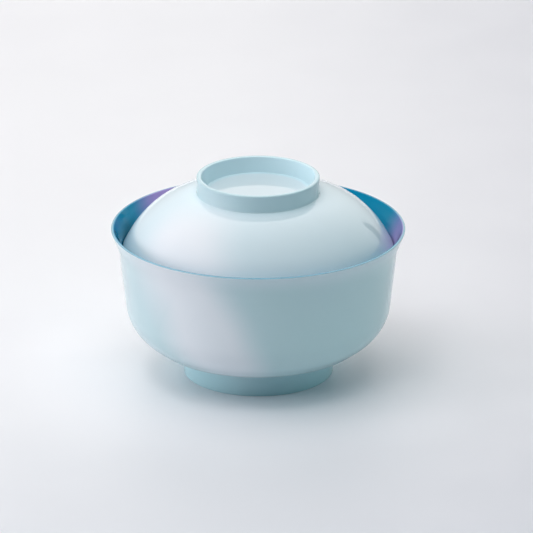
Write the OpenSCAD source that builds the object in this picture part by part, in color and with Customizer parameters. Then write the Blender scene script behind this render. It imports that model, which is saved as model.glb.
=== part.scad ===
// Lacquered soup bowl with a lid that nests inside its lip.
// Bowl and lid are turned cores, each with an outside and an inside coat of lacquer.
// The foot's resting edge is left bare, and the recess inside it has a coat of its own.
// The origin is the centre of the foot's resting face, with Z up.

/* [Bowl] */
// Diameter over the lip
rim_d = 120; // [90:1:150]
// Height of the bowl without its lid
bowl_h = 62.2; // [50:0.1:80]
// How far the lip turns out past the wall
lip_flare = 3.1; // [1:0.1:6]
// Height of the lip above its bend
lip_h = 8.6; // [6:0.1:11]
// Radius of the bend under the lip
lip_bend = 19.7; // [5:0.1:30]
// How far the wall leans out between hip and lip
wall_lean = 3.5; // [1:0.1:7]
// How far the belly reaches in from the hip
hip_reach = 11.1; // [8:0.1:15]
// Height of the hip above the belly
hip_rise = 8.8; // [6:0.1:12]
// Radius of the hip
hip_round = 19.4; // [10:0.1:24]
// Height of the belly above the top of the foot
belly_rise = 4.1; // [2:0.1:6]
// Radius of the belly
belly_round = 13.7; // [6:0.1:20]
// Thickness of the wall, coats included
bowl_wall = 1.8; // [1.6:0.1:2.6]
// Thickness of the lip at its top, coats included
lip_wall = 1.3; // [1.2:0.1:2]
// Thickness of the floor above the foot's recess, coats included
floor_thick = 3.8; // [2.5:0.1:5]
// Diameter of the flat inside the bowl's floor
floor_flat_d = 52; // [40:1:60]
// Radius where the floor turns up
floor_round = 30; // [10:1:45]

/* [Foot] */
// Diameter of the foot
foot_d = 61.4; // [50:0.1:72]
// Height of the foot
foot_h = 8.6; // [7:0.1:11]
// Thickness of the foot's ring at the rest face, coats included
foot_wall = 2.6; // [2:0.1:3.5]
// How much the foot's ring thickens upwards, on its inside
foot_draft = 1.2; // [0:0.1:2]
// Depth of the recess under the foot
foot_recess = 6; // [3:0.1:8]

/* [Lid] */
// How far the lid's edge sits below the top of the lip
seat_drop = 8.6; // [6:0.1:10]
// Clearance between the lid's edge and the bowl's wall
seat_gap = 0.3; // [0.2:0.05:0.5]
// How far the shoulder reaches in from the lid's edge
shoulder_reach = 11.2; // [8:0.1:14]
// Height of the shoulder above the lid's edge
shoulder_rise = 20; // [15:0.1:25]
// Radius of the shoulder
shoulder_round = 37; // [20:0.1:46]
// Height of the dome under the grip ring, above the shoulder
crown_rise = 3.5; // [2:0.1:5]
// Thickness of the lid's wall, coats included
lid_wall = 1.8; // [1.6:0.1:2.4]
// Thickness of the lid's edge, coats included
edge_wall = 1.5; // [1.4:0.1:1.8]

/* [Grip ring] */
// Diameter of the grip ring
ring_d = 50.2; // [40:0.1:58]
// Height of the ring above the dome
ring_h = 7.2; // [5:0.1:10]
// Thickness of the ring at its top, coats included
ring_wall = 1.9; // [1.6:0.1:3]
// How much the ring thickens downwards, on its inside
ring_draft = 1.7; // [0:0.1:2.5]
// Depth of the recess inside the ring
ring_recess = 6.3; // [4:0.1:7]
// Thickness of the lid under the recess, coats included
crown_thick = 2.2; // [1.6:0.1:3]

/* [Finish] */
// Thickness of each coat of lacquer
coat = 0.3; // [0.2:0.05:0.4]
// Rounding of the lip's two edges
lip_round = 0.35; // [0.25:0.05:0.4]
// Rounding of the lid's edge and the grip ring's edges
edge_round = 0.6; // [0.45:0.05:0.65]
// Fillet where a ring meets the dome or the bowl
ring_fillet = 0.4; // [0.3:0.1:1.2]
// How far the outside coat reaches over the lid's edge to the inside
coat_turn = 1; // [0.8:0.1:1.5]
// Longest straight facet along a rounded outline
facet_length = 1.5; // [0.8:0.1:2]
// Colour of the outside coats
outside_colour = "#cfe2ea";
// Colour of the inside coats
inside_colour = "#2f7597";
// Colour of the wooden cores
core_colour = "#b98c5e";

/* [Hidden] */
$fn = 180;

// An outline is a list of corners [radius from the axis, height, rounding].
// It runs with the material on its left.

// Place of corner i, without its rounding
function place(path, i) = [path[i].x, path[i].y];

// Unit direction from a to b
function heading(a, b) = (b - a) / norm(b - a);

// Direction turned a quarter to the left
function quarter_left(d) = [-d.y, d.x];

// Headings into and out of corner i, which are the same at an outline's ends
function heading_in(path, i) =
    let (k = max(i, 1)) heading(place(path, k - 1), place(path, k));
function heading_out(path, i) =
    let (k = min(i + 1, len(path) - 1)) heading(place(path, k - 1), place(path, k));

// The outline moved into the material by depth, with its roundings kept parallel
function inset(path, depth) = [
    for (i = [0 : len(path) - 1])
        let (
            n_in = quarter_left(heading_in(path, i)),
            n_out = quarter_left(heading_out(path, i)),
            moved = place(path, i) + depth * (n_in + n_out) / (1 + n_in * n_out),
            turn = sign(cross(n_in, n_out))
        )
        [moved.x, moved.y, max(0, path[i].z - turn * depth)]
];

// Turning angle at corner i
function turning(path, i) =
    acos(min(1, heading_in(path, i) * heading_out(path, i)));

// Length that the rounding of corner i takes from each side of it
function reach(path, i) =
    i <= 0 || i >= len(path) - 1 ? 0 : path[i].z * tan(turning(path, i) / 2);

// Share of its rounding that a corner keeps where a side is too short for it
function kept_share(path, i) =
    let (
        before = norm(place(path, i) - place(path, i - 1)),
        after = norm(place(path, i + 1) - place(path, i))
    )
    min(1, before / (reach(path, i - 1) + reach(path, i)),
        after / (reach(path, i) + reach(path, i + 1)));

// Points of corner i: the corner itself, or an arc in facets of facet_length
function corner_points(path, i) =
    reach(path, i) <= 0
        ? [place(path, i)]
        : let (
            share = kept_share(path, i),
            rounding = path[i].z * share,
            n_in = quarter_left(heading_in(path, i)),
            side = sign(cross(n_in, quarter_left(heading_out(path, i)))),
            start = place(path, i) - heading_in(path, i) * reach(path, i) * share,
            centre = start + n_in * side * rounding,
            angle = turning(path, i),
            steps = max(4, ceil(rounding * angle * PI / 180 / facet_length))
        )
        [
            for (k = [0 : steps])
                let (a = side * angle * k / steps)
                centre - side * rounding * [
                    n_in.x * cos(a) - n_in.y * sin(a),
                    n_in.x * sin(a) + n_in.y * cos(a)
                ]
        ];

// Points of the outline from corner first to corner last
function outline(path, first, last) =
    [for (i = [first : last]) each corner_points(path, i)];

// Corner on the straight from a towards b, at a distance from a
function corner_along(a, b, distance) =
    let (p = [a.x, a.y] + heading([a.x, a.y], [b.x, b.y]) * distance) [p.x, p.y, 0];

// Radius of a list of outline points at a height
function radius_at(points, height) = lookup(height, [for (p = points) [p.y, p.x]]);

// How far a corner under a leaning side stands out past the edge that its rounding leaves
function corner_excess(rounding, lean) = rounding * (1 / tan((90 - lean) / 2) - 1);

function reversed(list) = [for (i = [len(list) - 1 : -1 : 0]) list[i]];

// Bowl: the corners of its outside, from foot to lip
rim_r = rim_d / 2;
foot_r = foot_d / 2;
flare_r = rim_r - lip_flare;
hip_r = flare_r - wall_lean;
belly_z = foot_h + belly_rise;
lip_lean = atan(lip_flare / lip_h);
lip_out = [rim_r + corner_excess(lip_round, lip_lean), bowl_h, lip_round];
flare_out = [flare_r, bowl_h - lip_h, lip_bend];
hip_out = [hip_r, belly_z + hip_rise, hip_round];
belly_out = [hip_r - hip_reach, belly_z, belly_round];
foot_top = [foot_r, foot_h, ring_fillet];

// Bowl: the corners of its inside, a wall's thickness further in
bowl_inside = inset([foot_top, belly_out, hip_out, flare_out, lip_out], bowl_wall);
belly_in = bowl_inside[1];
hip_in = bowl_inside[2];
flare_in = bowl_inside[3];
lip_in = [lip_out.x - lip_wall, bowl_h, lip_round];
lip_joint = [lip_out.x - lip_wall * 2 / 3, bowl_h, 0];

// Bowl: its whole outline is the foot's recess, then the outside, then the lining,
// and the last two meet on top of the lip
foot_recess_corners = [
    [0, foot_recess, 0],
    [foot_r - foot_wall - foot_draft, foot_recess, ring_fillet],
    [foot_r - foot_wall, 0, 0]
];
bowl_outside_corners = [
    [foot_r, 0, 0],
    foot_top,
    belly_out,
    hip_out,
    flare_out,
    lip_out,
    lip_joint
];
bowl_lining_corners = [
    lip_in,
    flare_in,
    hip_in,
    belly_in,
    [floor_flat_d / 2, foot_recess + floor_thick, floor_round],
    [0, foot_recess + floor_thick, 0]
];
bowl_path = concat(foot_recess_corners, bowl_outside_corners, bowl_lining_corners);
foot_outer_corner = len(foot_recess_corners);
bowl_coat_joint = foot_outer_corner + len(bowl_outside_corners) - 1;

// Under its coats the bowl's core runs bare down to the resting face
bowl_inset = inset(bowl_path, coat);
bowl_under = [
    for (i = [0 : len(bowl_path) - 1])
        bowl_path[i].y == 0 ? [bowl_inset[i].x, 0, 0] : bowl_inset[i]
];

// Lid: its edge sits inside the lip, a seat_gap clear of the wall
seat_z = bowl_h - seat_drop;
bowl_lining = outline(bowl_path, bowl_coat_joint, len(bowl_path) - 1);
seat_r = radius_at(bowl_lining, seat_z + edge_round);
edge_lean = atan(shoulder_reach / shoulder_rise);
edge_out = [seat_r - seat_gap + corner_excess(edge_round, edge_lean), seat_z, edge_round];
shoulder_z = seat_z + shoulder_rise;
shoulder_out = [edge_out.x - shoulder_reach, shoulder_z, shoulder_round];
ring_r = ring_d / 2;
crown_z = shoulder_z + crown_rise;
ring_foot = [ring_r, crown_z, ring_fillet];
ring_top = crown_z + ring_h;
recess_r = ring_r - ring_wall - ring_draft;
recess_z = ring_top - ring_recess;

// Lid: its inside, a wall's thickness further in
shoulder_in = inset([edge_out, shoulder_out, ring_foot], lid_wall)[1];
edge_in = [edge_out.x - edge_wall, seat_z, edge_round];

// Lid: its whole outline is the lining, then the outside
lid_lining_corners = [
    [0, recess_z - crown_thick, 0],
    [recess_r, recess_z - crown_thick, shoulder_round - lid_wall],
    shoulder_in
];
lid_outside_corners = [
    corner_along(edge_in, shoulder_in, coat_turn),
    edge_in,
    edge_out,
    shoulder_out,
    ring_foot,
    [ring_r, ring_top, edge_round],
    [ring_r - ring_wall, ring_top, edge_round],
    [recess_r, recess_z, ring_fillet],
    [0, recess_z, 0]
];
lid_path = concat(lid_lining_corners, lid_outside_corners);
lid_coat_joint = len(lid_lining_corners);
lid_under = inset(lid_path, coat);

// Core turned from one piece, with the outline that lies under its coats
module core(under) {
    rotate_extrude()
        polygon(outline(under, 0, len(under) - 1));
}

// Coat of lacquer between the outlines path and under, from corner first to corner last
module coat_over(path, under, first, last) {
    rotate_extrude()
        polygon(concat(
            outline(path, first, last),
            reversed(outline(under, first, last))
        ));
}

module bowl_core() {
    color(core_colour)
        core(bowl_under);
}

module bowl_outside_coat() {
    color(outside_colour)
        coat_over(bowl_path, bowl_under, foot_outer_corner, bowl_coat_joint);
}

module foot_recess_coat() {
    color(outside_colour)
        coat_over(bowl_path, bowl_under, 0, foot_outer_corner - 1);
}

module bowl_inside_coat() {
    color(inside_colour)
        coat_over(bowl_path, bowl_under, bowl_coat_joint, len(bowl_path) - 1);
}

module lid_core() {
    color(core_colour)
        core(lid_under);
}

module lid_outside_coat() {
    color(outside_colour)
        coat_over(lid_path, lid_under, lid_coat_joint, len(lid_path) - 1);
}

module lid_inside_coat() {
    color(inside_colour)
        coat_over(lid_path, lid_under, 0, lid_coat_joint);
}

bowl_core();
bowl_outside_coat();
foot_recess_coat();
bowl_inside_coat();
lid_core();
lid_outside_coat();
lid_inside_coat();
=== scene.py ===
import math

import bpy
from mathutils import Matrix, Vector


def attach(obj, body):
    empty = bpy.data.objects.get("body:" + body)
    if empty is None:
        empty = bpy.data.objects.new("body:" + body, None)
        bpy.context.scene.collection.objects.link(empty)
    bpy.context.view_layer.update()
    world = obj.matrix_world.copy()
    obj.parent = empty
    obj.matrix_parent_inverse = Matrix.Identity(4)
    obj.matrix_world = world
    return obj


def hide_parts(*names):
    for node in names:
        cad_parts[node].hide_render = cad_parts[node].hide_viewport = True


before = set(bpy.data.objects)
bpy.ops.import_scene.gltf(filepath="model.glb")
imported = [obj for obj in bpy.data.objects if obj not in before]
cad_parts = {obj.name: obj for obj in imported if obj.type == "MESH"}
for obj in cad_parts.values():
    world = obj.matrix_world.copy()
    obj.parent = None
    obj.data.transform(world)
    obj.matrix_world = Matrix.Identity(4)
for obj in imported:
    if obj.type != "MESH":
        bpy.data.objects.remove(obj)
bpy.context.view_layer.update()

# A lacquered soup bowl with its lid. Bowl and lid are lathed shells: a turned wooden core
# with an outside and an inside coat of lacquer. Lengths are in metres, and the bowl stands
# on the origin with the Z axis through its middle.
MM = 0.001

# Bowl, with the same names as in the part's source
RIM_R = 60 * MM
BOWL_H = 62.2 * MM
LIP_FLARE = 3.1 * MM
LIP_H = 8.6 * MM
LIP_BEND = 19.7 * MM
WALL_LEAN = 3.5 * MM
HIP_REACH = 11.1 * MM
HIP_RISE = 8.8 * MM
HIP_ROUND = 19.4 * MM
BELLY_RISE = 4.1 * MM
BELLY_ROUND = 13.7 * MM
BOWL_WALL = 1.8 * MM
LIP_WALL = 1.3 * MM
FLOOR_THICK = 3.8 * MM
FLOOR_FLAT_R = 26 * MM
FLOOR_ROUND = 30 * MM

# Foot
FOOT_R = 30.7 * MM
FOOT_H = 8.6 * MM
FOOT_WALL = 2.6 * MM
FOOT_DRAFT = 1.2 * MM
FOOT_RECESS = 6 * MM

# Lid
SEAT_DROP = 8.6 * MM
SEAT_GAP = 0.3 * MM
SHOULDER_REACH = 11.2 * MM
SHOULDER_RISE = 20 * MM
SHOULDER_ROUND = 37 * MM
CROWN_RISE = 3.5 * MM
LID_WALL = 1.8 * MM
EDGE_WALL = 1.5 * MM

# Grip ring
RING_R = 25.1 * MM
RING_H = 7.2 * MM
RING_WALL = 1.9 * MM
RING_DRAFT = 1.7 * MM
RING_RECESS = 6.3 * MM
CROWN_THICK = 2.2 * MM

# Finish
COAT = 0.3 * MM
LIP_ROUND = 0.35 * MM
EDGE_ROUND = 0.6 * MM
RING_FILLET = 0.4 * MM
COAT_TURN = 1 * MM
FOOT_EDGE_ROUND = 0.25 * MM

# Fineness of the lathed meshes, and the least turn, length and other value that count
AROUND = 192
ARC_STEP = math.radians(5)
MIN_ARC_STEPS = 4
LONGEST_STRAIGHT = 6 * MM
SHARP_ANGLE = math.radians(35)
NO_TURN = 1e-6
NO_LENGTH = 1e-7
ZERO = 1e-9

# Camera: a long lens above and in front of the bowl
IMAGE_WIDTH = 533
SENSOR_WIDTH = 36
FOCAL_PIXELS = 5749
CAMERA_DISTANCE = 2.2
CAMERA_HEIGHT = 0.87475
CAMERA_OFFSET = 0.0034
CAMERA_TILT = math.radians(20.667)
FARTHEST_SEEN = 100.0


def colour(r, g, b):
    """A linear colour as a node takes it."""
    return (r, g, b, 1.0)


def grey(level):
    return colour(level, level, level)


# Outside lacquer's colours, among them painted light and shade, and the heights and radii where
# one turns into the next
AQUA = colour(0.592, 0.754, 0.796)
AQUA_GREENER = colour(0.577, 0.764, 0.786)
# Lilac, partly paint and partly painted highlight: its clouds make the lit front left paler
LILAC_AND_HIGHLIGHT = colour(0.866, 0.885, 0.923)
# Painted shade: a darker, greyer aqua high on the bowl's left side, and the same on its right
SHADED_AQUA = colour(0.61, 0.725, 0.77)
# Painted light: the lid and the top of the bowl paler, as where light falls from above
LIT_PALE_AQUA = colour(0.706, 0.82, 0.869)
PALING_HEIGHTS = 54 * MM, 63 * MM
# Painted shade: the foot a deeper aqua, as in the bowl's shade
SHADED_FOOT_AQUA = colour(0.498, 0.746, 0.80)
FOOT_HEIGHTS = 5 * MM, 14 * MM
# Painted light and shade on the grip ring: its outer wall darker, its inner wall and recess
# floor paler
RING_OUTSIDE_SHADE = colour(0.53, 0.71, 0.76)
RING_INSIDE_LIGHT = colour(0.64, 0.83, 0.895)
RING_FLOOR_LIGHT = colour(0.695, 0.805, 0.85)
RING_HEIGHTS = 76.5 * MM, 78 * MM
RING_OUTSIDE_RADII = RING_R - 1.2 * MM, RING_R - 0.4 * MM
RING_INSIDE_RADII = RING_R - 6 * MM, RING_R - 4 * MM
LIP_TEAL = colour(0.22, 0.46, 0.58)
LIP_RADII = RIM_R - 3 * MM, RIM_R - 2 * MM
LIP_HEIGHTS = BOWL_H - 0.35 * MM, BOWL_H - 0.1 * MM

# Inside lacquer's colours
TEAL = colour(0.0, 0.268, 0.44)
TEAL_BLUER = colour(0.0, 0.235, 0.43)
# Deeper teal: painted shade on the left inner wall down by the lid, and a darker patch on the
# front right
DEEP_AND_SHADED_TEAL = colour(0.0, 0.165, 0.27)
VIOLET = colour(0.43, 0.30, 0.64)

# Drifts of one colour into another: noise scale, and the stretch of the noise that is used
AQUA_DRIFT_SCALE = 14.0
AQUA_DRIFT = 0.3, 0.7
TEAL_DRIFT_SCALE = 22.0
TEAL_DRIFT = 0.35, 0.65

# Clouds: azimuth, reach, height, half extents, lean, hardness, strength
# Lilac clouds on the front left and the back right; on the front left they also paint a
# highlight where the light falls
LILAC_AND_HIGHLIGHT_CLOUDS = [
    (-24, 0.053, 0.036, (0.026, 0.034, 0.065), -23, 0.7, 1.0),
    (-37, 0.046, 0.058, (0.030, 0.034, 0.045), -23, 0.7, 1.0),
    (153, 0.053, 0.036, (0.028, 0.034, 0.065), -23, 0.8, 0.9),
    (141, 0.046, 0.058, (0.030, 0.034, 0.045), -23, 0.8, 0.9),
]
# Painted shade: darker clouds high on the bowl's left and right sides
SHADED_CLOUDS = [
    (-84, 0.048, 0.046, (0.026, 0.030, 0.022), 0, 0.9, 0.8),
    (96, 0.048, 0.046, (0.026, 0.030, 0.022), 0, 0.9, 0.8),
]
INSIDE_CLOUDS = [
    (-140, 0.055, 0.056, (0.027, 0.020, 0.026), 0, 0.8, 1.0),
    (89, 0.055, 0.053, (0.024, 0.020, 0.028), 0, 0.8, 0.85),
    (-150, 0.042, 0.030, (0.034, 0.026, 0.028), 0, 1.0, 0.55),
    (72, 0.042, 0.028, (0.032, 0.026, 0.028), 0, 1.0, 0.55),
]
# Painted shade on the left inner wall down by the lid, and a darker patch on the front right
DEEP_AND_SHADE_CLOUDS = [
    (-104, 0.056, 0.050, (0.018, 0.020, 0.0105), 0, 0.5, 1.0),
    (28, 0.050, 0.040, (0.030, 0.020, 0.018), 0, 0.9, 0.6),
]
CLOUD_EDGE_SCALE = 28.0
CLOUD_EDGE_DRIFT = 12 * MM

# Lacquer's gloss: level and tint of its shine, its haze, and its skin's peel and swell
OUTSIDE_SHINE = 0.5, grey(1.0)
INSIDE_SHINE = 0.25, colour(0.15, 0.8, 1.0)
LACQUER_IOR = 1.5
HAZE_SCALE = 45.0
HAZE_DRIFT = 0.35, 0.7
HAZE_ROUGHNESS = 0.008, 0.02
PEEL_SCALE = 900.0
PEEL_SHARE = 0.03
SWELL_SCALE = 60.0
SKIN_STRENGTH = 0.25
SKIN_DEPTH = 0.05 * MM

# Wood: its colours, its grain along the Y axis, and its growth rings
WOOD_LIGHT = colour(0.52, 0.33, 0.17)
WOOD_DARK = colour(0.30, 0.17, 0.08)
WOOD_ROUGHNESS = 0.45, 0.65
GRAIN_SCALE = 420.0
GRAIN_STRETCH = 1.0, 0.12, 1.0
GRAIN_DARKENING = 0.35, 0.7
GRAIN_ROUGHENING = 0.3, 0.7
GRAIN_STRENGTH = 0.4
GRAIN_DEPTH = 0.1 * MM
GROWTH_SCALE = 55.0
GROWTH_SHARE = 0.35

# Floor: its colour, and its painted shade to the right, far behind and in front; the colour
# that it throws back on the bowl; its speckle and its weak shine
FLOOR_SIZE = 40.0
FLOOR_COLOUR = colour(0.885, 0.876, 0.896)
RIGHT_SHADE = colour(0.728, 0.724, 0.761)
RIGHT_REACH = -0.05, 0.18
FAR_SHADE = colour(0.955, 0.96, 0.965)
FAR_REACH = 0.25, 0.5
FAR_FADE_REACH = -0.15, 0.1
FAR_FADE = 0.5, 1.0
NEAR_SHADE = colour(0.885, 0.895, 0.912)
NEAR_REACH = 0.0, -0.18
FLOOR_BOUNCE = colour(0.675, 0.715, 0.762)
SPECKLE_SCALE = 30.0
SPECKLE_DRIFT = 0.3, 0.7
SPECKLE_ROUGHNESS = 0.45, 0.55
FLOOR_SHINE = 0.2

# World: what the camera sees behind the floor, and the dim light that it gives
BACKGROUND = colour(0.88, 0.89, 0.92)
WORLD_LIGHT = colour(0.01, 0.035, 0.04)

# Room that reflections show: its colour, and for each bright side of it the direction, the
# narrowness of its glow, and the glow
ROOM_COLOUR = grey(0.06)
ROOM_SIDES = [
    ((0.0, 0.0, 1.0), 1, grey(0.51)),
    ((-1.0, 0.0, 0.0), 1, grey(0.21)),
    ((0.0, 0.94, 0.342), 8, grey(0.4)),
    ((0.0, 0.707, 0.707), 8, grey(1.22)),
    ((0.0, 0.342, 0.94), 8, grey(0.75)),
    ((0.621, 0.74, 0.259), 6, grey(0.76)),
]
# A dark gap in that room: azimuth, reach, height, half extents, lean, hardness
ROOM_GAP = 144.2, 0.998, 0.043, (0.071, 0.5, 0.285), 0, 0.06
GAP_COLOUR = grey(0.02)

# Lights: name, place, width and height, strength in watts, colour
TOP_BOX = 1.6, 1.6
HIGH_BOX = 1.4, 1.4
LEVEL_BOX = 1.3, 1.2
LOW_BOX = 1.2, 0.6
LIGHTS = [
    ("top_softbox", (0.0, -0.004, 2.2), TOP_BOX, 12.6, (1.0, 0.94, 0.93)),
    ("high_front_softbox", (0.0, -1.1, 1.905), HIGH_BOX, 9.8, (0.79, 0.93, 1.0)),
    ("high_back_left_softbox", (-0.953, 0.55, 1.905), HIGH_BOX, 2.7, (1.0, 0.9, 0.85)),
    ("high_front_left_softbox", (-0.953, -0.55, 1.905), HIGH_BOX, 11.8, (1.0, 0.985, 0.985)),
    ("right_softbox", (1.905, 0.0, 1.1), LEVEL_BOX, 3.2, (0.78, 0.98, 1.0)),
    ("back_right_softbox", (1.347, 1.347, 1.1), LEVEL_BOX, 3.9, (1.0, 0.91, 0.89)),
    ("back_softbox", (0.0, 1.905, 1.1), LEVEL_BOX, 7.0, (1.0, 0.88, 0.82)),
    ("back_left_softbox", (-1.347, 1.347, 1.1), LEVEL_BOX, 4.3, (1.0, 0.97, 0.96)),
    ("left_softbox", (-1.905, 0.0, 1.1), LEVEL_BOX, 3.1, (0.96, 0.92, 1.0)),
    ("front_left_softbox", (-1.347, -1.347, 1.1), LEVEL_BOX, 3.4, (0.85, 0.92, 1.0)),
    ("low_left_softbox", (-2.179, 0.0, 0.306), LOW_BOX, 16.8, (1.0, 0.955, 0.97)),
    ("low_back_left_softbox", (-1.54, 1.54, 0.306), LOW_BOX, 6.5, (1.0, 1.0, 1.0)),
    ("low_back_softbox", (0.0, 2.179, 0.306), LOW_BOX, 10.0, (1.0, 0.98, 0.97)),
    ("low_right_softbox", (2.179, 0.0, 0.306), LOW_BOX, 5.4, (0.78, 1.0, 1.0)),
]
LIGHT_TARGET = Vector((0.0, 0.0, 0.04))


def corner(r, z, rounding=0.0):
    """One corner of an outline: its place and its rounding."""
    return Vector((r, z)), rounding


def quarter_left(direction):
    """The direction turned a quarter to its left."""
    return Vector((-direction.y, direction.x))


def headings(path, i):
    """Unit directions into and out of corner i, the same at an outline's ends."""
    before, after = max(i, 1), min(i + 1, len(path) - 1)
    into = (path[before][0] - path[before - 1][0]).normalized()
    out = (path[after][0] - path[after - 1][0]).normalized()
    return into, out


def inset(path, depth):
    """The outline moved to its left by depth, with its roundings kept parallel."""
    moved = []
    for i, (place, rounding) in enumerate(path):
        n_in, n_out = (quarter_left(d) for d in headings(path, i))
        turn = n_in.x * n_out.y - n_in.y * n_out.x
        side = (turn > ZERO) - (turn < -ZERO)
        shifted = place + depth * (n_in + n_out) / (1 + n_in.dot(n_out))
        moved.append((shifted, max(0.0, rounding - side * depth)))
    return moved


def corner_points(path, i):
    """The corner itself, or the points of its rounding."""
    place, rounding = path[i]
    into, out = headings(path, i)
    turn = math.acos(max(-1.0, min(1.0, into.dot(out))))
    if rounding <= 0 or turn < NO_TURN:
        return [place]
    n_in = quarter_left(into)
    side = 1 if n_in.dot(out) > 0 else -1
    start = place - into * rounding * math.tan(turn / 2)
    centre = start + n_in * side * rounding
    steps = max(MIN_ARC_STEPS, math.ceil(turn / ARC_STEP))
    points = []
    for k in range(steps + 1):
        a = side * turn * k / steps
        spoke = Vector((n_in.x * math.cos(a) - n_in.y * math.sin(a),
                        n_in.x * math.sin(a) + n_in.y * math.cos(a)))
        points.append(centre - side * rounding * spoke)
    return points


def outline(path, first=0, last=None):
    """Points of the outline from corner first to corner last."""
    last = len(path) - 1 if last is None else last
    return [p for i in range(first, last + 1) for p in corner_points(path, i)]


def corner_along(a, b, distance):
    """A corner on the straight from corner a towards corner b."""
    return corner(*(a[0] + (b[0] - a[0]).normalized() * distance))


def corner_excess(rounding, lean):
    """How far a corner under a leaning side stands out past its rounding."""
    return rounding * (1 / math.tan((math.pi / 2 - lean) / 2) - 1)


def radius_at(points, height):
    """Radius of an outline's points at a height."""
    for a, b in zip(points, points[1:]):
        if min(a.y, b.y) <= height <= max(a.y, b.y) and a.y != b.y:
            return a.x + (b.x - a.x) * (height - a.y) / (b.y - a.y)
    raise ValueError("the outline doesn't reach that height")


def bowl_outlines():
    """The bowl's outline, the one under its coats, and the corners where coats end."""
    flare_r = RIM_R - LIP_FLARE
    hip_r = flare_r - WALL_LEAN
    belly_z = FOOT_H + BELLY_RISE
    lip_r = RIM_R + corner_excess(LIP_ROUND, math.atan(LIP_FLARE / LIP_H))
    foot_top = corner(FOOT_R, FOOT_H, RING_FILLET)
    belly = corner(hip_r - HIP_REACH, belly_z, BELLY_ROUND)
    hip = corner(hip_r, belly_z + HIP_RISE, HIP_ROUND)
    flare = corner(flare_r, BOWL_H - LIP_H, LIP_BEND)
    lip = corner(lip_r, BOWL_H, LIP_ROUND)
    lining = inset([foot_top, belly, hip, flare, lip], BOWL_WALL)
    lip_joint = corner(lip_r - LIP_WALL * 2 / 3, BOWL_H)
    recess = [
        corner(0, FOOT_RECESS),
        corner(FOOT_R - FOOT_WALL - FOOT_DRAFT, FOOT_RECESS, RING_FILLET),
        corner(FOOT_R - FOOT_WALL, 0),
    ]
    outside = [
        corner(FOOT_R, 0, FOOT_EDGE_ROUND), foot_top, belly, hip, flare, lip, lip_joint,
    ]
    inside = [
        corner(lip_r - LIP_WALL, BOWL_H, LIP_ROUND), lining[3], lining[2], lining[1],
        corner(FLOOR_FLAT_R, FOOT_RECESS + FLOOR_THICK, FLOOR_ROUND),
        corner(0, FOOT_RECESS + FLOOR_THICK),
    ]
    path = recess + outside + inside
    under = [
        corner(moved[0].x, 0) if place.y == 0 else moved
        for (place, _), moved in zip(path, inset(path, COAT))
    ]
    return path, under, len(recess), len(recess) + len(outside) - 1


def lid_outlines(seat_r):
    """The lid's outline, the one under its coats, and the corner where its coats meet."""
    seat_z = BOWL_H - SEAT_DROP
    lean = math.atan(SHOULDER_REACH / SHOULDER_RISE)
    edge_r = seat_r - SEAT_GAP + corner_excess(EDGE_ROUND, lean)
    edge = corner(edge_r, seat_z, EDGE_ROUND)
    shoulder_z = seat_z + SHOULDER_RISE
    shoulder = corner(edge_r - SHOULDER_REACH, shoulder_z, SHOULDER_ROUND)
    crown_z = shoulder_z + CROWN_RISE
    ring_foot = corner(RING_R, crown_z, RING_FILLET)
    ring_top = crown_z + RING_H
    recess_r = RING_R - RING_WALL - RING_DRAFT
    recess_z = ring_top - RING_RECESS
    shoulder_in = inset([edge, shoulder, ring_foot], LID_WALL)[1]
    edge_in = corner(edge_r - EDGE_WALL, seat_z, EDGE_ROUND)
    inside = [
        corner(0, recess_z - CROWN_THICK),
        corner(recess_r, recess_z - CROWN_THICK, SHOULDER_ROUND - LID_WALL),
        shoulder_in,
    ]
    outside = [
        corner_along(edge_in, shoulder_in, COAT_TURN), edge_in, edge, shoulder, ring_foot,
        corner(RING_R, ring_top, EDGE_ROUND),
        corner(RING_R - RING_WALL, ring_top, EDGE_ROUND),
        corner(recess_r, recess_z, RING_FILLET),
        corner(0, recess_z),
    ]
    path = inside + outside
    return path, inset(path, COAT), len(inside)


def coat_section(path, under, first, last):
    """Closed section of a coat between an outline and the one under it."""
    return outline(path, first, last) + outline(under, first, last)[::-1]


def finer(points):
    """The closed section with its long straights divided, and no doubled points."""
    fine = []
    for a, b in zip(points, points[1:] + points[:1]):
        if (b - a).length < NO_LENGTH:
            continue
        parts = 1 if a.x == b.x == 0 else math.ceil((b - a).length / LONGEST_STRAIGHT)
        fine += [a + (b - a) * k / parts for k in range(parts)]
    return fine


def lathe(name, section, material, body, node):
    """A closed section turned about the Z axis: a piece that stands for a CAD node."""
    section = finer(section)
    verts, rings = [], []
    for point in section:
        turns = 1 if point.x < ZERO else AROUND
        rings.append(range(len(verts), len(verts) + turns))
        for k in range(turns):
            a = 2 * math.pi * k / AROUND
            verts.append((point.x * math.cos(a), point.x * math.sin(a), point.y))
    faces = []
    for low, high in zip(rings, rings[1:] + rings[:1]):
        if len(low) == len(high) == 1:
            continue
        for k in range(AROUND):
            n = (k + 1) % AROUND
            if len(low) == 1:
                faces.append((low[0], high[n], high[k]))
            elif len(high) == 1:
                faces.append((low[k], low[n], high[0]))
            else:
                faces.append((low[k], low[n], high[n], high[k]))
    mesh = bpy.data.meshes.new(name)
    mesh.from_pydata(verts, [], faces)
    mesh.validate()
    mesh.polygons.foreach_set("use_smooth", [True] * len(mesh.polygons))
    mesh.set_sharp_from_angle(angle=SHARP_ANGLE)
    mesh.materials.append(material)
    piece = bpy.data.objects.new(name, mesh)
    bpy.context.scene.collection.objects.link(piece)
    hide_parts(node)
    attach(piece, body)


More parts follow.
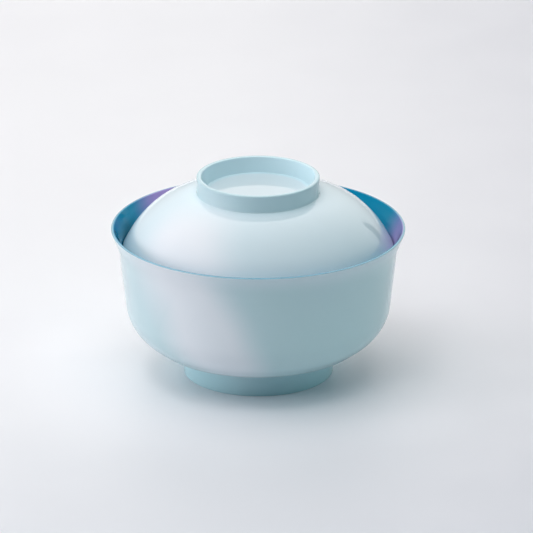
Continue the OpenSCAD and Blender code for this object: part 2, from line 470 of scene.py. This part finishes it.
class Nodes:
    """Short calls for building one material's or world's node tree."""

    def __init__(self, owner):
        owner.use_nodes = True
        self.tree = owner.node_tree
        self.tree.nodes.clear()

    def add(self, kind, inputs=None, **settings):
        """A node with its properties, and a value or a link for each input that is given."""
        node = self.tree.nodes.new(kind)
        for key, value in settings.items():
            setattr(node, key, value)
        for key, value in (inputs or {}).items():
            if isinstance(value, bpy.types.NodeSocket):
                self.tree.links.new(value, node.inputs[key])
            else:
                node.inputs[key].default_value = value
        return node

    def mix(self, factor, a, b, blend="MIX"):
        """Colour a turned into colour b by a factor."""
        node = self.add("ShaderNodeMix", data_type="RGBA", blend_type=blend,
                        inputs={0: factor, 6: a, 7: b})
        return node.outputs[2]

    def maths(self, operation, a, b):
        """The result of an operation on two values."""
        return self.add("ShaderNodeMath", operation=operation, inputs={0: a, 1: b}).outputs[0]

    def smooth_range(self, value, low, high, to_low=0.0, to_high=1.0):
        """The value, from low to high, turned smoothly into to_low to to_high."""
        node = self.add("ShaderNodeMapRange", interpolation_type="SMOOTHSTEP",
                        inputs={"Value": value, "From Min": low, "From Max": high,
                                "To Min": to_low, "To Max": to_high})
        return node.outputs[0]

    def noise(self, place, scale, detail=2.0, distortion=0.0):
        """Smooth noise around 0.5."""
        node = self.add("ShaderNodeTexNoise", inputs={
            "Vector": place, "Scale": scale, "Detail": detail, "Distortion": distortion})
        return node.outputs["Fac"]

    def by_ray(self, shader, others):
        """The shader, with another one in its place for some kinds of ray."""
        path = self.add("ShaderNodeLightPath").outputs
        for ray, other in others:
            node = self.add("ShaderNodeMixShader", inputs={0: path[ray], 1: shader, 2: other})
            shader = node.outputs[0]
        return shader


def new_material(name):
    """A material with an empty node tree, and the place on the object that it colours."""
    material = bpy.data.materials.new(name)
    nodes = Nodes(material)
    place = nodes.add("ShaderNodeTexCoord").outputs["Object"]
    return material, nodes, place


def cloud(nodes, place, azimuth, reach, height, size, lean, hardness):
    """A soft cloud: 1 in its middle, 0 outside.

    azimuth is in degrees from the front, positive to the right; reach and height place its
    middle; size is its half extents across, in depth and up; lean tips it sideways."""
    a = math.radians(azimuth)
    within = nodes.add("ShaderNodeMapping", vector_type="TEXTURE", inputs={
        "Vector": place,
        "Location": (reach * math.sin(a), -reach * math.cos(a), height),
        "Rotation": (0.0, math.radians(lean), a),
        "Scale": size,
    })
    ball = nodes.add("ShaderNodeTexGradient", gradient_type="SPHERICAL",
                     inputs={"Vector": within.outputs[0]})
    return nodes.smooth_range(ball.outputs["Fac"], 0.0, hardness)


def paint_and_light_clouds(nodes, place, clouds):
    """The strongest of several soft clouds, with gently uneven edges; some are sprayed colour,
    some painted light and shade.
    """
    drift = nodes.add("ShaderNodeTexNoise", inputs={
        "Vector": place, "Scale": CLOUD_EDGE_SCALE, "Detail": 1.0})
    pushed = nodes.add("ShaderNodeVectorMath", operation="MULTIPLY_ADD", inputs={
        0: drift.outputs["Color"], 1: (CLOUD_EDGE_DRIFT,) * 3, 2: place})
    centred = nodes.add("ShaderNodeVectorMath", operation="SUBTRACT", inputs={
        0: pushed.outputs[0], 1: (CLOUD_EDGE_DRIFT / 2,) * 3})
    total = None
    for *shape, strength in clouds:
        one = nodes.maths("MULTIPLY", cloud(nodes, centred.outputs[0], *shape), strength)
        total = one if total is None else nodes.maths("MAXIMUM", total, one)
    return total


def lacquer_surface(nodes, place, base, shine):
    """Gloss lacquer: its colour, and a barely uneven skin under a clear, sharp shine."""
    peel = nodes.noise(place, PEEL_SCALE, detail=1.0)
    swell = nodes.noise(place, SWELL_SCALE)
    skin = nodes.maths("ADD", nodes.maths("MULTIPLY", peel, PEEL_SHARE), swell)
    bump = nodes.add("ShaderNodeBump", inputs={
        "Strength": SKIN_STRENGTH, "Distance": SKIN_DEPTH, "Height": skin})
    haze = nodes.smooth_range(nodes.noise(place, HAZE_SCALE, detail=3.0),
                              *HAZE_DRIFT, *HAZE_ROUGHNESS)
    level, tint = shine
    shader = nodes.add("ShaderNodeBsdfPrincipled", inputs={
        "Base Color": base, "Roughness": haze, "IOR": LACQUER_IOR,
        "Specular IOR Level": level, "Specular Tint": tint, "Normal": bump.outputs[0]})
    nodes.add("ShaderNodeOutputMaterial", inputs={"Surface": shader.outputs[0]})


def outside_lacquer():
    """Pale aqua with lilac clouds, and so thin on the lip that the teal under it shows; painted
    light makes it paler on the lid, in the grip ring and on the lit front left, and painted
    shade darker on the bowl's sides, its foot and the ring's outer wall.
    """
    material, nodes, place = new_material("outside_lacquer")
    x, y, z = nodes.add("ShaderNodeSeparateXYZ", inputs={"Vector": place}).outputs
    flat = nodes.add("ShaderNodeCombineXYZ", inputs={"X": x, "Y": y})
    length = nodes.add("ShaderNodeVectorMath", operation="LENGTH", inputs={0: flat.outputs[0]})
    radius = length.outputs["Value"]

    aqua = nodes.mix(nodes.smooth_range(nodes.noise(place, AQUA_DRIFT_SCALE), *AQUA_DRIFT),
                     AQUA, AQUA_GREENER)
    aqua = nodes.mix(nodes.smooth_range(z, *PALING_HEIGHTS), aqua, LIT_PALE_AQUA)
    within_ring = nodes.mix(nodes.smooth_range(radius, *RING_INSIDE_RADII),
                            RING_FLOOR_LIGHT, RING_INSIDE_LIGHT)
    ring = nodes.mix(nodes.smooth_range(radius, *RING_OUTSIDE_RADII),
                     within_ring, RING_OUTSIDE_SHADE)
    aqua = nodes.mix(nodes.smooth_range(z, *RING_HEIGHTS), aqua, ring)
    aqua = nodes.mix(nodes.smooth_range(z, *FOOT_HEIGHTS, 1.0, 0.0), aqua, SHADED_FOOT_AQUA)
    aqua = nodes.mix(paint_and_light_clouds(nodes, place, SHADED_CLOUDS), aqua, SHADED_AQUA)
    base = nodes.mix(paint_and_light_clouds(nodes, place, LILAC_AND_HIGHLIGHT_CLOUDS), aqua, LILAC_AND_HIGHLIGHT)
    on_lip = nodes.maths("MULTIPLY", nodes.smooth_range(radius, *LIP_RADII),
                         nodes.smooth_range(z, *LIP_HEIGHTS))
    base = nodes.mix(on_lip, base, LIP_TEAL)
    lacquer_surface(nodes, place, base, OUTSIDE_SHINE)
    return material


def inside_lacquer():
    """Teal blue with violet clouds, deeper in places: painted shade on the left inner wall down
    by the lid, and a darker patch on the front right.
    """
    material, nodes, place = new_material("inside_lacquer")
    teal = nodes.mix(nodes.smooth_range(nodes.noise(place, TEAL_DRIFT_SCALE), *TEAL_DRIFT),
                     TEAL, TEAL_BLUER)
    teal = nodes.mix(paint_and_light_clouds(nodes, place, DEEP_AND_SHADE_CLOUDS), teal, DEEP_AND_SHADED_TEAL)
    base = nodes.mix(paint_and_light_clouds(nodes, place, INSIDE_CLOUDS), teal, VIOLET)
    lacquer_surface(nodes, place, base, INSIDE_SHINE)
    return material


def turned_wood():
    """Fine-grained turned wood, seen only on the foot's resting edge."""
    material, nodes, place = new_material("turned_wood")
    stretched = nodes.add("ShaderNodeMapping", inputs={"Vector": place, "Scale": GRAIN_STRETCH})
    grain = nodes.noise(stretched.outputs[0], GRAIN_SCALE, detail=4.0, distortion=0.6)
    growth = nodes.add("ShaderNodeTexWave", bands_direction="X", inputs={
        "Vector": place, "Scale": GROWTH_SCALE, "Distortion": 3.0, "Detail": 2.0})
    base = nodes.mix(nodes.smooth_range(grain, *GRAIN_DARKENING), WOOD_LIGHT, WOOD_DARK)
    base = nodes.mix(nodes.maths("MULTIPLY", growth.outputs["Fac"], GROWTH_SHARE),
                     base, WOOD_DARK)
    bump = nodes.add("ShaderNodeBump", inputs={
        "Strength": GRAIN_STRENGTH, "Distance": GRAIN_DEPTH, "Height": grain})
    shader = nodes.add("ShaderNodeBsdfPrincipled", inputs={
        "Base Color": base,
        "Roughness": nodes.smooth_range(grain, *GRAIN_ROUGHENING, *WOOD_ROUGHNESS),
        "Normal": bump.outputs[0]})
    nodes.add("ShaderNodeOutputMaterial", inputs={"Surface": shader.outputs[0]})
    return material


def build_pieces():
    """Every piece of the bowl and of the lid, on its own body."""
    outside, inside, wood = outside_lacquer(), inside_lacquer(), turned_wood()
    path, under, foot_edge, joint = bowl_outlines()
    end = len(path) - 1
    lathe("bowl_wood", outline(under), wood, "bowl", "bowl_core")
    lathe("bowl_outside_lacquer", coat_section(path, under, foot_edge, joint),
          outside, "bowl", "bowl_outside_coat")
    lathe("foot_recess_lacquer", coat_section(path, under, 0, foot_edge - 1),
          outside, "bowl", "foot_recess_coat")
    lathe("bowl_inside_lacquer", coat_section(path, under, joint, end),
          inside, "bowl", "bowl_inside_coat")
    seat_height = BOWL_H - SEAT_DROP + EDGE_ROUND
    path, under, joint = lid_outlines(radius_at(outline(path, joint, end), seat_height))
    end = len(path) - 1
    lathe("lid_wood", outline(under), wood, "lid", "lid_core")
    lathe("lid_outside_lacquer", coat_section(path, under, joint, end),
          outside, "lid", "lid_outside_coat")
    lathe("lid_inside_lacquer", coat_section(path, under, 0, joint),
          inside, "lid", "lid_inside_coat")


def build_floor():
    """A pale floor, far wider than any view of the bowl, with painted shade to the right, far
    behind and in front.
    """
    half = FLOOR_SIZE / 2
    mesh = bpy.data.meshes.new("floor")
    mesh.from_pydata([(-half, -half, 0), (half, -half, 0), (half, half, 0), (-half, half, 0)],
                     [], [(0, 1, 2, 3)])
    floor = bpy.data.objects.new("floor", mesh)
    bpy.context.scene.collection.objects.link(floor)
    material, nodes, place = new_material("floor")
    x, y, _ = nodes.add("ShaderNodeSeparateXYZ", inputs={"Vector": place}).outputs
    shade = nodes.mix(nodes.smooth_range(x, *RIGHT_REACH), FLOOR_COLOUR, RIGHT_SHADE)
    far = nodes.maths("MULTIPLY", nodes.smooth_range(y, *FAR_REACH),
                      nodes.smooth_range(x, *FAR_FADE_REACH, *FAR_FADE))
    shade = nodes.mix(far, shade, FAR_SHADE, "MULTIPLY")
    shade = nodes.mix(nodes.smooth_range(y, *NEAR_REACH), shade, NEAR_SHADE, "MULTIPLY")
    speckle = nodes.smooth_range(nodes.noise(place, SPECKLE_SCALE, detail=3.0),
                                 *SPECKLE_DRIFT, *SPECKLE_ROUGHNESS)
    seen = nodes.add("ShaderNodeBsdfPrincipled", inputs={
        "Base Color": shade, "Roughness": speckle,
        "Specular IOR Level": FLOOR_SHINE}).outputs[0]
    bounce = nodes.add("ShaderNodeBsdfDiffuse", inputs={"Color": FLOOR_BOUNCE}).outputs[0]
    surface = nodes.by_ray(bounce, [
        ("Is Glossy Ray", seen), ("Is Transmission Ray", seen), ("Is Camera Ray", seen)])
    nodes.add("ShaderNodeOutputMaterial", inputs={"Surface": surface})
    mesh.materials.append(material)


def build_world():
    """Soft even light; for the camera and for reflections, the pale studio around it."""
    world = bpy.data.worlds.new("studio")
    bpy.context.scene.world = world
    nodes = Nodes(world)
    towards = nodes.add("ShaderNodeTexCoord").outputs["Generated"]
    room = ROOM_COLOUR
    for side, narrowness, glow in ROOM_SIDES:
        facing = nodes.add("ShaderNodeVectorMath", operation="DOT_PRODUCT",
                           inputs={0: towards, 1: side})
        share = nodes.maths("POWER", nodes.maths("MAXIMUM", facing.outputs["Value"], 0.0),
                            narrowness)
        room = nodes.mix(share, room, glow, "ADD")
    room = nodes.mix(cloud(nodes, towards, *ROOM_GAP), room, GAP_COLOUR)
    light, mirrored, backdrop = (
        nodes.add("ShaderNodeBackground", inputs={"Color": tint}).outputs[0]
        for tint in (WORLD_LIGHT, room, BACKGROUND))
    surface = nodes.by_ray(light, [
        ("Is Glossy Ray", mirrored), ("Is Transmission Ray", mirrored),
        ("Is Camera Ray", backdrop)])
    nodes.add("ShaderNodeOutputWorld", inputs={"Surface": surface})


def build_lights():
    """Large softboxes aimed at the bowl, unseen by the camera and by reflections."""
    for name, place, (width, height), strength, tint in LIGHTS:
        light = bpy.data.lights.new(name, "AREA")
        light.shape = "RECTANGLE"
        light.size, light.size_y = width, height
        light.energy = strength
        light.color = tint
        lamp = bpy.data.objects.new(name, light)
        lamp.location = place
        aim = LIGHT_TARGET - Vector(place)
        lamp.rotation_euler = aim.to_track_quat("-Z", "Y").to_euler()
        lamp.visible_camera = False
        lamp.visible_glossy = False
        bpy.context.scene.collection.objects.link(lamp)


def build_camera():
    """A long lens looking down on the bowl."""
    data = bpy.data.cameras.new("camera")
    data.sensor_width = SENSOR_WIDTH
    data.lens = SENSOR_WIDTH * FOCAL_PIXELS / IMAGE_WIDTH
    data.clip_end = FARTHEST_SEEN
    camera = bpy.data.objects.new("camera", data)
    camera.location = (CAMERA_OFFSET, -CAMERA_DISTANCE, CAMERA_HEIGHT)
    camera.rotation_euler = (math.pi / 2 - CAMERA_TILT, 0.0, 0.0)
    bpy.context.scene.collection.objects.link(camera)
    bpy.context.scene.camera = camera


bpy.context.scene.view_settings.view_transform = "Standard"
build_camera()
build_pieces()
build_floor()
build_world()
build_lights()
